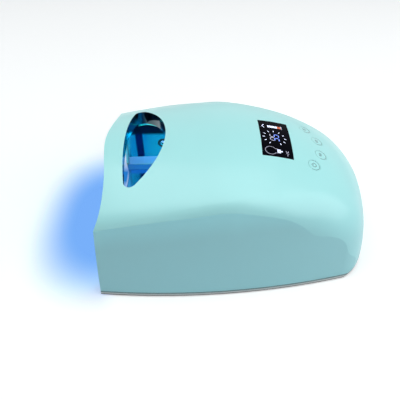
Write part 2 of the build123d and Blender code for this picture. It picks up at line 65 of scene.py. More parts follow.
MM = 0.001
WHITE = (1.0, 1.0, 1.0)
MINT = (0.43, 0.88, 0.88)
DUST_ON_PLASTIC = (0.62, 0.61, 0.58)
DUST_ON_METAL = (0.5, 0.5, 0.48)
READING_RIGHT = Vector((-1.0, 0.0, 0.0))
Color = tuple[float, float, float]
Point2 = tuple[float, float]
Span = tuple[float, float]
Socket = bpy.types.NodeSocket


class Body(Enum):
    """The bodies that visual pieces ride on."""

    HOUSING = "housing"
    BUTTON_30 = "time_button_30"
    BUTTON_60 = "time_button_60"
    BUTTON_99 = "time_button_99"
    POWER = "power_button"


class Sheet:
    """A node tree being drawn up, with short ways to add and join nodes."""

    def __init__(self, tree: bpy.types.NodeTree) -> None:
        """Starts on an empty tree."""
        self.tree = tree
        self.tree.nodes.clear()

    def add(self, kind: str, inputs: dict | None = None, **settings: object) -> bpy.types.Node:
        """Adds one node and joins what feeds it.

        Args:
            kind: the node type without its "ShaderNode" or "Node" prefix.
            inputs: plain values or output sockets, by the name or number of the input.
            settings: the node's own properties.

        Returns:
            The new node.
        """
        prefix = "Node" if kind.startswith("Group") else "ShaderNode"
        node = self.tree.nodes.new(prefix + kind)
        for name, value in settings.items():
            setattr(node, name, value)
        self.feed(node, inputs or {})
        return node

    def feed(self, node: bpy.types.Node, inputs: dict) -> None:
        """Sets or joins the inputs of a node.

        Args:
            node: the node to feed.
            inputs: plain values or output sockets, by the name or number of the input.
        """
        for key, value in inputs.items():
            if isinstance(value, Socket):
                self.tree.links.new(value, node.inputs[key])
            else:
                node.inputs[key].default_value = value

    def effect(self, group: bpy.types.NodeTree, inputs: dict) -> bpy.types.Node:
        """Places a shared effect with its own values.

        Args:
            group: the effect's node group.
            inputs: values by input name.

        Returns:
            The group node, whose outputs carry the effect.
        """
        node = self.tree.nodes.new("ShaderNodeGroup")
        node.node_tree = group
        self.feed(node, inputs)
        return node

    def math(self, operation: str, first: object, second: object = 0.0) -> Socket:
        """One sum on two values, as an output socket."""
        return self.add("Math", {0: first, 1: second}, operation=operation).outputs[0]

    def product(self, first: object, *others: object) -> Socket:
        """Multiplies values, as an output socket."""
        for other in others:
            first = self.math("MULTIPLY", first, other)
        return first

    def blend(self, share: object, start: object, end: object) -> Socket:
        """Mixes two colours.

        Args:
            share: 0 gives start and 1 gives end.
            start: a colour, or a socket that carries one.
            end: a colour, or a socket that carries one.

        Returns:
            The socket with the mixed colour.
        """
        mix = self.add("Mix", {0: share}, data_type="RGBA")
        for key, value in ((6, start), (7, end)):
            self.feed(mix, {key: (*value, 1.0) if isinstance(value, tuple) else value})
        return mix.outputs[2]

    def spread(self, value: object, low: float, high: float, start: float = 0.0, end: float = 1.0) -> Socket:
        """Maps a value that runs from start to end onto low to high, and holds it there."""
        return self.add("MapRange", {0: value, 1: start, 2: end, 3: low, 4: high}).outputs[0]

    def fade(self, value: object, start: float, end: float) -> Socket:
        """Falls softly from 1 to 0 while a value runs from start to end."""
        settings = {0: value, 1: start, 2: end, 3: 1.0, 4: 0.0}
        return self.add("MapRange", settings, interpolation_type="SMOOTHSTEP").outputs[0]

    def within(self, value: object, low: float, high: float) -> Socket:
        """1 where a value lies between low and high."""
        return self.product(self.math("GREATER_THAN", value, low), self.math("LESS_THAN", value, high))

    def position(self) -> bpy.types.NodeOutputs:
        """The place on the model, as its X, Y and Z sockets."""
        return self.add("SeparateXYZ", {0: self.add("NewGeometry").outputs["Position"]}).outputs

    def facing(self) -> bpy.types.NodeOutputs:
        """The flat face's normal, as its X, Y and Z sockets."""
        return self.add("SeparateXYZ", {0: self.add("NewGeometry").outputs["True Normal"]}).outputs


class SurfaceEffects:
    """Effects that several finishes share. Each is a shader group, built once."""

    EDGE_RADIUS = 0.35 * MM
    WEAR_COUNT = 160.0
    SPECK_COUNT = 900.0
    SMEAR_COUNT = 26.0

    @staticmethod
    def _start(name: str, inputs: tuple[str, ...],
               outputs: dict[str, str]) -> tuple[Sheet, dict[str, Socket], bpy.types.Node]:
        """Makes an empty effect.

        Args:
            name: what the effect is called.
            inputs: the names of its numbers.
            outputs: the socket type of each output, by name.

        Returns:
            The sheet to draw on, the input sockets by name, and the node that takes the outputs.
        """
        tree = bpy.data.node_groups.new(name, "ShaderNodeTree")
        for item in inputs:
            tree.interface.new_socket(item, in_out="INPUT", socket_type="NodeSocketFloat")
        for item, kind in outputs.items():
            tree.interface.new_socket(item, in_out="OUTPUT", socket_type="NodeSocket" + kind)
        sheet = Sheet(tree)
        source = sheet.add("GroupInput")
        return sheet, {item: source.outputs[item] for item in inputs}, sheet.add("GroupOutput")

    @classmethod
    @cache
    def grain(cls) -> bpy.types.NodeTree:
        """Fine moulded texture, and slow patches for colour and gloss, both as counts for each metre.

        Returns:
            The shader group.
        """
        outputs = {"Height": "Float", "Patch": "Float"}
        sheet, given, out = cls._start("moulded grain", ("Fine", "Slow"), outputs)
        place = sheet.add("TexCoord").outputs["Object"]
        fine = {"Vector": place, "Scale": given["Fine"], "Detail": 3.0, "Roughness": 0.6}
        slow = {"Vector": place, "Scale": given["Slow"], "Detail": 2.0}
        patch = sheet.spread(sheet.add("TexNoise", slow).outputs["Fac"], 0.0, 1.0, start=0.3, end=0.7)
        sheet.feed(out, {"Height": sheet.add("TexNoise", fine).outputs["Fac"], "Patch": patch})
        return sheet.tree

    @classmethod
    @cache
    def edges(cls) -> bpy.types.NodeTree:
        """Small rounding on every sharp edge, and a mask of those edges broken up as wear is.

        Returns:
            The shader group.
        """
        outputs = {"Normal": "Vector", "Worn": "Float"}
        sheet, given, out = cls._start("soft edges", ("Wear",), outputs)
        rounded = sheet.add("Bevel", {"Radius": cls.EDGE_RADIUS}, samples=4).outputs["Normal"]
        flat = sheet.add("NewGeometry").outputs["Normal"]
        turned = sheet.add("VectorMath", {0: rounded, 1: flat}, operation="DOT_PRODUCT").outputs["Value"]
        edge = sheet.spread(turned, 1.0, 0.0, start=0.85, end=0.995)
        broken = {"Vector": sheet.add("TexCoord").outputs["Object"], "Scale": cls.WEAR_COUNT, "Detail": 4.0}
        gaps = sheet.spread(sheet.add("TexNoise", broken).outputs["Fac"], 0.2, 1.0, start=0.4, end=0.7)
        sheet.feed(out, {"Normal": rounded, "Worn": sheet.product(edge, gaps, given["Wear"])})
        return sheet.tree

    @classmethod
    @cache
    def film(cls) -> bpy.types.NodeTree:
        """Thin film of dust on what faces up, and of touch marks on the rest.

        Returns:
            The shader group.
        """
        outputs = {"Dust": "Float", "Touch": "Float"}
        sheet, given, out = cls._start("dust film", ("Amount",), outputs)
        place = sheet.add("TexCoord").outputs["Object"]
        up = sheet.add("SeparateXYZ", {0: sheet.add("NewGeometry").outputs["Normal"]}).outputs["Z"]
        speck = {"Vector": place, "Scale": cls.SPECK_COUNT, "Detail": 2.0}
        specks = sheet.spread(sheet.add("TexNoise", speck).outputs["Fac"], 0.0, 1.0, start=0.55, end=0.8)
        dust = sheet.product(sheet.spread(up, 0.0, 1.0, start=0.3, end=1.0), specks, given["Amount"])
        smear = {"Vector": place, "Scale": cls.SMEAR_COUNT, "Detail": 5.0, "Distortion": 1.2}
        touch = sheet.spread(sheet.add("TexNoise", smear).outputs["Fac"], 0.0, 1.0, start=0.35, end=0.7)
        sheet.feed(out, {"Dust": dust, "Touch": touch})
        return sheet.tree


def darker(color: Color, share: float) -> Color:
    """A colour with each part brought down to a share of itself."""
    return tuple(part * share for part in color)


@dataclass(frozen=True)
class Finish:
    """What every finish has. Each kind of finish draws what feeds its own shader."""

    name: str
    color: Color
    roughness: float

    def material(self) -> bpy.types.Material:
        """The finish as a Blender material, drawn the first time it is asked for.

        Returns:
            The material.
        """
        found = bpy.data.materials.get(self.name)
        if found:
            return found
        made = bpy.data.materials.new(self.name)
        made.use_nodes = True
        made.diffuse_color = (*self.color, 1.0)
        sheet = Sheet(made.node_tree)
        shader = sheet.add("BsdfPrincipled", self.inputs(sheet))
        sheet.add("OutputMaterial", {"Surface": shader.outputs[0]})
        return made

    def inputs(self, sheet: Sheet) -> dict:
        """Draws what feeds the shader, by input name."""
        raise NotImplementedError

    def dress(self, *pieces: bpy.types.Object) -> None:
        """Gives this finish to pieces.

        Args:
            pieces: the pieces to dress.
        """
        for piece in pieces:
            if not piece.material_slots:
                piece.data.materials.append(None)
            for place in piece.material_slots:
                place.link = "OBJECT"
                place.material = self.material()
            log.info("%s in %s", piece.name, self.name)

    def dress_nodes(self, *names: str) -> None:
        """Gives this finish to CAD nodes by name."""
        self.dress(*[frame["nodes"][name] for name in names])


@dataclass(frozen=True)
class Moulding(Finish):
    """Moulded plastic or rubber: fine grain, soft edges and slow changes of gloss."""

    grain_size: float = 0.5 * MM
    grain_depth: float = 0.004 * MM
    patch_count: float = 14.0
    patch_shade: float = 0.975
    coat: float = 0.0
    coat_roughness: float = 0.12
    wear: float = 0.25
    worn_paleness: float = 0.35
    dust: float = 0.05
    shine: float = 0.5
    refraction: float = 1.49
    gloss_range: Span = (-0.03, 0.05)

    def inputs(self, sheet: Sheet) -> dict:
        """Draws what feeds the plastic's shader.

        Args:
            sheet: the sheet to draw on.

        Returns:
            The shader's inputs by name.
        """
        counts = {"Fine": 1.0 / self.grain_size, "Slow": self.patch_count}
        grain = sheet.effect(SurfaceEffects.grain(), counts)
        edges = sheet.effect(SurfaceEffects.edges(), {"Wear": self.wear})
        film = sheet.effect(SurfaceEffects.film(), {"Amount": self.dust})
        pale = tuple(part + (1.0 - part) * self.worn_paleness for part in self.color)
        color = sheet.blend(grain.outputs["Patch"], darker(self.color, self.patch_shade), self.color)
        color = sheet.blend(edges.outputs["Worn"], color, pale)
        color = sheet.blend(film.outputs["Dust"], color, DUST_ON_PLASTIC)
        gloss = sheet.spread(film.outputs["Touch"], *[self.roughness + part for part in self.gloss_range])
        bump = sheet.add("Bump", {"Height": grain.outputs["Height"], "Distance": self.grain_depth,
                                  "Normal": edges.outputs["Normal"]})
        return {"Base Color": color, "Roughness": gloss, "Normal": bump.outputs[0], "IOR": self.refraction,
                "Specular IOR Level": self.shine, "Coat Weight": self.coat,
                "Coat Roughness": self.coat_roughness}


@dataclass(frozen=True)
class Crease:
    """The line where the shell's side wall meets its roof, measured on the CAD piece, on the +X side."""

    WALL_SPREAD = 0.06
    WALL_OUT = 0.5
    ROOF_UP = 0.22
    WALL_FROM_X = 60.0 * MM
    ROOF_FROM_X = 40.0 * MM

    spots: tuple[Vector, ...]

    @classmethod
    def measured(cls, node: str, lean: float, gap: float) -> "Crease":
        """Finds the crease: points of the leaning wall that the roof shares.

        Args:
            node: the shell's node.
            lean: how far the wall leans in, in degrees.
            gap: how far apart along the lamp the kept points are.

        Returns:
            The crease with its points from front to back.
        """
        mesh = frame["nodes"][node].data
        wall_up = math.sin(math.radians(lean))
        wall, roof = set(), set()
        for face in mesh.polygons:
            spots = [tuple(round(c, 5) for c in mesh.vertices[i].co) for i in face.vertices]
            leaning = abs(face.normal.z - wall_up) < cls.WALL_SPREAD and face.normal.x > cls.WALL_OUT
            if face.center.x > cls.WALL_FROM_X and leaning:
                wall.update(spots)
            elif face.center.x > cls.ROOF_FROM_X and face.normal.z > cls.ROOF_UP:
                roof.update(spots)
        found = []
        for spot in sorted(wall & roof, key=lambda p: p[1]):
            if not found or spot[1] - found[-1][1] > gap:
                found.append(spot)
        return cls(tuple(Vector(spot) for spot in found))

    def along(self, sheet: Sheet, place: Socket, axis: int) -> Socket:
        """Where the crease runs, for each place along the lamp.

        Args:
            sheet: the sheet to draw on.
            place: the socket with the place along the lamp.
            axis: 0 for the crease's distance from the middle, 2 for its height.

        Returns:
            The socket with that distance or height.
        """
        low, high, top = self.spots[0].y, self.spots[-1].y, cad_box[1].z
        curve = sheet.add("FloatCurve", {"Value": sheet.spread(place, 0.0, 1.0, low, high)})
        points = curve.mapping.curves[0].points
        while len(points) < len(self.spots):
            points.new(0.5, 0.5)
        for point, spot in zip(points, self.spots):
            point.location = ((spot.y - low) / (high - low), spot[axis] / top)
        curve.mapping.update()
        return sheet.product(curve.outputs[0], top)


@dataclass(frozen=True)
class ShellMoulding(Moulding):
    """The shell's plastic: its crease looks soft through turned normals and painted light on the wall below
    it, and the wall round the finger window is painted shade, near black and glossy metal.
    """

    window_low: tuple[float, float, float] = (-68.0 * MM, -108.0 * MM, 60.0 * MM)
    window_high: tuple[float, float, float] = (68.0 * MM, -62.0 * MM, 108.0 * MM)
    window_steepness: float = 0.3
    # painted shade: near black for the wall round the window, whose inside lies in shade
    window_shade_color: Color = (0.012, 0.05, 0.065)
    window_roughness: float = 0.1
    wall_lean: float = 9.0
    crease_gap: float = 9.0 * MM
    # how far below the crease the painted light on the wall reaches, at the front and at the back
    wall_light_reach: Span = (26.0 * MM, 3.0 * MM)
    roof_roll: Span = (18.0 * MM, 3.0 * MM)
    roof_turn: float = 0.45
    roof_drop: float = 1.0 * MM
    roll_fades_y: Span = (-5.0 * MM, 62.0 * MM)
    # painted light: a paler mint laid on the wall below the crease, so the shade turns softly from roof to
    # wall
    crease_light_tint: Color = (0.47, 1.0, 1.0)

    def window_shade_mask(self, sheet: Sheet) -> Socket:
        """Marks the upright wall round the finger window, which gets painted shade.

        Args:
            sheet: the sheet to draw on.

        Returns:
            The socket that is 1 on that wall.
        """
        place = sheet.position()
        steep = sheet.math("LESS_THAN", sheet.math("ABSOLUTE", sheet.facing()["Z"]), self.window_steepness)
        box = [sheet.within(place[axis], self.window_low[axis], self.window_high[axis]) for axis in range(3)]
        return sheet.product(steep, *box)

    def roll(self, sheet: Sheet, normal: Socket) -> tuple[Socket, Socket]:
        """Lets the roof turn down to the wall towards the crease, and marks where painted light lifts the
        wall below it.

        Args:
            sheet: the sheet to draw on.
            normal: the normal with its grain.

        Returns:
            The socket with the turned normal, and the mask of the painted light on the wall: 1 at the crease,
            fading below it.
        """
        crease = Crease.measured("outer_shell", self.wall_lean, self.crease_gap)
        place, facing = sheet.position(), sheet.facing()
        side = sheet.math("SIGN", place["X"])
        edge_x, edge_z = (crease.along(sheet, place["Y"], axis) for axis in (0, 2))
        front = sheet.spread(place["Y"], 1.0, 0.0, *self.roll_fades_y)
        below = sheet.math("SUBTRACT", edge_z, place["Z"])
        inward = sheet.math("SUBTRACT", edge_x, sheet.math("ABSOLUTE", place["X"]))
        near = []
        for distance, (front_reach, back_reach) in ((below, self.wall_light_reach), (inward, self.roof_roll)):
            reach = sheet.spread(front, back_reach, front_reach)
            near.append(sheet.fade(sheet.math("DIVIDE", distance, reach), 0.0, 1.0))
        wall_up, wall_out = math.sin(math.radians(self.wall_lean)), math.cos(math.radians(self.wall_lean))
        leaning = sheet.within(facing["Z"], wall_up - crease.WALL_SPREAD, wall_up + crease.WALL_SPREAD)
        outward = sheet.math("GREATER_THAN", sheet.product(facing["X"], side), crease.WALL_OUT)
        on_roof = sheet.product(sheet.math("GREATER_THAN", facing["Z"], crease.ROOF_UP),
                                sheet.math("LESS_THAN", below, self.roof_drop))
        wall = sheet.add("CombineXYZ", {"X": sheet.product(side, wall_out), "Z": wall_up}).outputs[0]
        turn = sheet.product(on_roof, near[1], front, self.roof_turn)
        turned = sheet.add("Mix", {0: turn, 4: normal, 5: wall}, data_type="VECTOR").outputs[1]
        return (sheet.add("VectorMath", {0: turned}, operation="NORMALIZE").outputs[0],
                sheet.product(leaning, outward, front, near[0]))

    def inputs(self, sheet: Sheet) -> dict:
        """Draws what feeds the shell's shader.

        Args:
            sheet: the sheet to draw on.

        Returns:
            The shader's inputs by name.
        """
        found = super().inputs(sheet)
        window = self.window_shade_mask(sheet)
        found["Normal"], crease_light_mask = self.roll(sheet, found["Normal"])
        # painted light: the wall is lightened towards the crease
        color = sheet.blend(crease_light_mask, found["Base Color"], self.crease_light_tint)
        # painted shade: the wall round the window is made near black, metallic and glossy
        found["Base Color"] = sheet.blend(window, color, self.window_shade_color)
        found["Metallic"] = window
        gloss = {0: window, 2: found["Roughness"], 3: self.window_roughness}
        found["Roughness"] = sheet.add("Mix", gloss).outputs[0]
        return found


@dataclass(frozen=True)
class BaseMoulding(Moulding):
    """The base's plastic: a pale band between dark lines of painted shade, and deep blue where it frames the
    tray.
    """

    # painted shade: a dark line along the top of the base, the shadow of the gap under the shell
    gap_shade_z: float = 3.4 * MM
    gap_shade_color: Color = (0.2, 0.33, 0.32)
    # painted shade: a dark line along the bottom of the base, the shade between it and the floor
    foot_shade_z: float = 2.0 * MM
    foot_color: Color = (0.22, 0.22, 0.2)
    inner_half_width: float = 86.0 * MM
    inner_blur: float = 1.0 * MM
    inner_front_y: float = cad_box[0].y + 3.0 * MM
    inner_back_y: float = 56.0 * MM
    inner_color: Color = (0.02, 0.15, 0.42)

    def inputs(self, sheet: Sheet) -> dict:
        """Draws what feeds the base's shader.

        Args:
            sheet: the sheet to draw on.

        Returns:
            The shader's inputs by name.
        """
        found = super().inputs(sheet)
        place = sheet.position()
        gap_shade = sheet.math("GREATER_THAN", place["Z"], self.gap_shade_z)
        foot = sheet.math("LESS_THAN", place["Z"], self.foot_shade_z)
        narrow = sheet.spread(sheet.math("ABSOLUTE", place["X"]), 1.0, 0.0,
                              self.inner_half_width - self.inner_blur, self.inner_half_width)
        inner = sheet.product(narrow, sheet.within(place["Y"], self.inner_front_y, self.inner_back_y))
        # painted shade at the top and at the foot of the base's side
        color = sheet.blend(gap_shade, found["Base Color"], self.gap_shade_color)
        color = sheet.blend(foot, color, self.foot_color)
        found["Base Color"] = sheet.blend(inner, color, self.inner_color)
        return found


@dataclass(frozen=True)
class Plating(Finish):
    """Bright metal skin: vacuum plating, nickel or plated steel."""

    ripple_size: float = 9.0 * MM
    ripple_depth: float = 0.01 * MM
    patch_count: float = 22.0
    patch_shade: float = 0.94
    wear: float = 0.2
    dust: float = 0.04
    gloss_shares: Span = (0.8, 1.35)

    def inputs(self, sheet: Sheet) -> dict:
        """Draws what feeds the metal's shader.

        Args:
            sheet: the sheet to draw on.

        Returns:
            The shader's inputs by name.
        """
        counts = {"Fine": 1.0 / self.ripple_size, "Slow": self.patch_count}
        grain = sheet.effect(SurfaceEffects.grain(), counts)
        edges = sheet.effect(SurfaceEffects.edges(), {"Wear": self.wear})
        film = sheet.effect(SurfaceEffects.film(), {"Amount": self.dust})
        color = sheet.blend(grain.outputs["Patch"], darker(self.color, self.patch_shade), self.color)
        color = sheet.blend(film.outputs["Dust"], color, DUST_ON_METAL)
        gloss = sheet.spread(film.outputs["Touch"], *[self.roughness * part for part in self.gloss_shares])
        bump = sheet.add("Bump", {"Height": grain.outputs["Height"], "Distance": self.ripple_depth,
                                  "Normal": edges.outputs["Normal"]})
        return {"Base Color": color, "Roughness": gloss, "Metallic": 1.0, "Normal": bump.outputs[0]}


@dataclass(frozen=True)
class LinerPlating(Plating):
    """The tunnel's plated liner: dark upright lines of painted reflection in its sides, a band of painted
    shade above them, a paler foot flange.
    """

    facet_pitch: float = 34.0 * MM
    facet_start: float = -121.0 * MM
    # painted reflection: dark upright lines where the facets turn the mirror's reflection dark
    facet_reflection_share: float = 0.14
    facet_reflection_core: float = 0.7
    facet_reflection_color: Color = (0.01, 0.05, 0.16)
    foot_height: float = 17.0 * MM
    foot_blur: float = 0.5 * MM
    foot_color: Color = (0.5, 0.5, 0.78)
    foot_metal: float = 0.2
    # painted shade: a near black band high on the liner's sides, the shaded top of the tunnel wall
    shade_z: Span = (49.0 * MM, 53.0 * MM)
    shade_half_width: float = 66.0 * MM
    shade_color: Color = (0.005, 0.03, 0.05)

    def inputs(self, sheet: Sheet) -> dict:
        """Draws what feeds the liner's shader.

        Args:
            sheet: the sheet to draw on.

        Returns:
            The shader's inputs by name.
        """
        found = super().inputs(sheet)
        place = sheet.position()
        run = sheet.math("DIVIDE", sheet.math("SUBTRACT", place["Y"], self.facet_start), self.facet_pitch)
        across = sheet.math("ABSOLUTE", sheet.math("SUBTRACT", sheet.math("FRACT", run), 0.5))
        facet_reflection = sheet.spread(across, 1.0, 0.0, self.facet_reflection_share * self.facet_reflection_core, self.facet_reflection_share)
        outside = sheet.math("GREATER_THAN", sheet.math("ABSOLUTE", place["X"]), self.shade_half_width)
        shade = sheet.product(sheet.spread(place["Z"], 0.0, 1.0, *self.shade_z), outside)
        foot = sheet.spread(place["Z"], 1.0, 0.0, self.foot_height - self.foot_blur, self.foot_height)
        # painted reflection lines, then painted shade
        color = sheet.blend(facet_reflection, found["Base Color"], self.facet_reflection_color)
        color = sheet.blend(shade, color, self.shade_color)
        found["Base Color"] = sheet.blend(foot, color, self.foot_color)
        found["Metallic"] = sheet.spread(foot, 1.0, self.foot_metal)
        return found


@dataclass(frozen=True)
class BoardMask(Finish):
    """Green solder mask over copper tracks."""

    tracks_scale: float = 1.0 / (24.0 * MM)
    track_depth: float = 0.03 * MM
    track_share: float = 1.9
    track_lift: float = 0.01
    dust: float = 0.1
    touch_roughness: float = 0.15

    def inputs(self, sheet: Sheet) -> dict:
        """Draws what feeds the board's shader.

        Args:
            sheet: the sheet to draw on.

        Returns:
            The shader's inputs by name.
        """
        tracks = sheet.add("TexBrick", {"Vector": sheet.add("TexCoord").outputs["Object"],
                                        "Scale": self.tracks_scale, "Mortar Size": 0.06,
                                        "Brick Width": 1.7, "Row Height": 0.35}).outputs["Fac"]
        lit = tuple(min(1.0, part * self.track_share + self.track_lift) for part in self.color)
        film = sheet.effect(SurfaceEffects.film(), {"Amount": self.dust})
        gloss = sheet.spread(film.outputs["Touch"], self.roughness, self.roughness + self.touch_roughness)
        return {"Base Color": sheet.blend(tracks, self.color, lit), "Roughness": gloss,
                "Normal": sheet.add("Bump", {"Height": tracks, "Distance": self.track_depth}).outputs[0]}


@dataclass(frozen=True)
class ClearLens(Finish):
    """Water-clear moulded lens."""

    refraction: float = 1.45
    dust: float = 0.05
    touch_shade: float = 0.96
    touch_roughness: float = 0.05

    def inputs(self, sheet: Sheet) -> dict:
        """Draws what feeds the lens's shader.

        Args:
            sheet: the sheet to draw on.

        Returns:
            The shader's inputs by name.
        """
        touch = sheet.effect(SurfaceEffects.film(), {"Amount": self.dust}).outputs["Touch"]
        return {"Base Color": sheet.blend(touch, self.color, darker(self.color, self.touch_shade)),
                "Roughness": sheet.spread(touch, self.roughness, self.roughness + self.touch_roughness),
                "IOR": self.refraction, "Transmission Weight": 1.0}


@dataclass(frozen=True)
class Glow(Finish):
    """A lit sign or a lit die."""

    strength: float = 1.0
    fine_count: float = 2500.0
    patch_count: float = 400.0
    patch_shade: float = 0.85

    def inputs(self, sheet: Sheet) -> dict:
        """Draws what feeds the lit shader.

        Args:
            sheet: the sheet to draw on.

        Returns:
            The shader's inputs by name.
        """
        grain = sheet.effect(SurfaceEffects.grain(), {"Fine": self.fine_count, "Slow": self.patch_count})
        light = sheet.blend(grain.outputs["Patch"], darker(self.color, self.patch_shade), self.color)
        return {"Base Color": light, "Roughness": self.roughness, "Emission Color": light,
                "Emission Strength": self.strength}


FINISHES = {
    "shell": ShellMoulding("mint shell", MINT, 0.34, coat=0.25),
    "handle": Moulding("mint handle cover", MINT, 0.34, coat=0.25),
    "buttons": Moulding("mint buttons", MINT, 0.3, coat=0.3),
    "base": BaseMoulding("grey base", (0.72, 0.77, 0.72), 0.42, grain_size=0.7 * MM),
    "black": Moulding("black moulding", (0.02, 0.02, 0.025), 0.45),
    "display": Moulding("smoked display lens", (0.002, 0.002, 0.005), 0.08, grain_depth=0.0005 * MM,
                        wear=0.1, dust=0.0, shine=0.01),
    "cradle": Moulding("ivory cradle", (0.8, 0.8, 0.76), 0.5),
    "rubber": Moulding("foot rubber", (0.05, 0.05, 0.055), 0.82, grain_size=0.9 * MM, grain_depth=0.02 * MM),
    "wrap": Moulding("cell wrap", (0.06, 0.22, 0.5), 0.22, grain_size=3.0 * MM, grain_depth=0.03 * MM,
                     coat=0.5),
    # also paints the dark ring of shade round each button cap
    "print": Moulding("button print", (0.06, 0.15, 0.16), 0.55, wear=0.0, dust=0.0),
    "liner": LinerPlating("mirror liner", (0.08, 0.84, 0.8), 0.14),
    "tray": Plating("mirror tray", (0.05, 0.36, 0.74), 0.16),
    "nickel": Plating("nickel", (0.7, 0.69, 0.66), 0.2, ripple_size=2.0 * MM),
    "steel": Plating("plated screws", (0.55, 0.55, 0.57), 0.3, ripple_size=1.0 * MM),
    "board": BoardMask("green board", (0.02, 0.16, 0.07), 0.35),
    "lens": ClearLens("lamp lens", (0.86, 0.93, 1.0), 0.02),
    "sign_white": Glow("white signs", (0.72, 0.78, 1.0), 0.4, strength=1.1),
    "sign_blue": Glow("blue sign", (0.2, 0.32, 1.0), 0.4, strength=1.0),
    "sign_dim": Glow("dim signs", (0.36, 0.36, 0.46), 0.4, strength=0.9),
    "sign_red": Glow("red sign", (0.62, 0.13, 0.05), 0.4, strength=0.75),
    "die": Glow("lit dies", (0.3, 0.6, 1.0), 0.4, strength=1.6),
}


def add_object(name: str, data: bpy.types.ID) -> bpy.types.Object:
    """Adds an object to the scene.

    Args:
        name: what it is called.
        data: its mesh, light or camera.

    Returns:
        The object.
    """
    made = bpy.data.objects.new(name, data)
    bpy.context.scene.collection.objects.link(made)
    return made


def piece_of(name: str, work: bmesh.types.BMesh, finish: Finish, body: Body) -> bpy.types.Object:
    """Turns a mesh being worked on into a finished piece.

    Args:
        name: what the piece is called.
        work: the mesh, which is freed.
        finish: what the piece is made of.
        body: the body that it rides on.

    Returns:
        The piece.
    """
    mesh = bpy.data.meshes.new(name)
    work.to_mesh(mesh)
    work.free()
    piece = add_object(name, mesh)
    finish.dress(piece)
    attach(piece, body.value)
    return piece


def area_light(name: str, size: Span, power: float, color: Color, place: Vector) -> bpy.types.Object:
    """Adds a flat light that shines down.

    Args:
        name: what it is called.
        size: its two sides.
        power: its watts.
        color: the colour of its light.
        place: where it hangs.

    Returns:
        The light's object.
    """
    lamp = bpy.data.lights.new(name, "AREA")
    lamp.shape, lamp.energy, lamp.color = "RECTANGLE", power, color
    lamp.size, lamp.size_y = size
    holder = add_object(name, lamp)
    holder.location = place
    return holder


def tree_of(node: str) -> BVHTree:
    """A CAD piece's faces, ready for rays."""
    mesh = frame["nodes"][node].data
    return BVHTree.FromPolygons([v.co for v in mesh.vertices], [p.vertices for p in mesh.polygons])


@dataclass(frozen=True)
class Surface:
    """A place on a CAD piece's outside, with directions to draw along."""

    REACH = 15.0 * MM
    FAR = 50.0 * MM

    centre: Vector
    right: Vector
    up: Vector
    tree: BVHTree

    @classmethod
    def on_node(cls, node: str, right: Vector, normal: Vector) -> "Surface":
        """The outside of a CAD piece, centred on the middle of its box.

        Args:
            node: the CAD node's name.
            right: the direction that reads left to right.
            normal: straight out of the piece.

        Returns:
            The surface.
        """
        low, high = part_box(node)
        middle = (low + high) / 2
        tree = tree_of(node)
        top = tree.ray_cast(middle + normal * cls.FAR, -normal, 2 * cls.FAR)[0]
        return cls(top or middle, right.normalized(), normal.cross(right).normalized(), tree)

    @property
    def normal(self) -> Vector:
        """Straight out of the surface."""
        return self.right.cross(self.up).normalized()

    def place(self, spot: Point2, lift: float) -> Vector:
        """Puts a drawn point on the surface.

        Args:
            spot: the point, right and up from the centre, in metres.
            lift: how far outside the surface it ends.

        Returns:
            The point in the frame of the model.
        """
        start = self.centre + self.right * spot[0] + self.up * spot[1]
        hit = self.tree.ray_cast(start + self.normal * self.REACH, -self.normal, 2 * self.REACH)[0]
        return (hit or start) + self.normal * lift


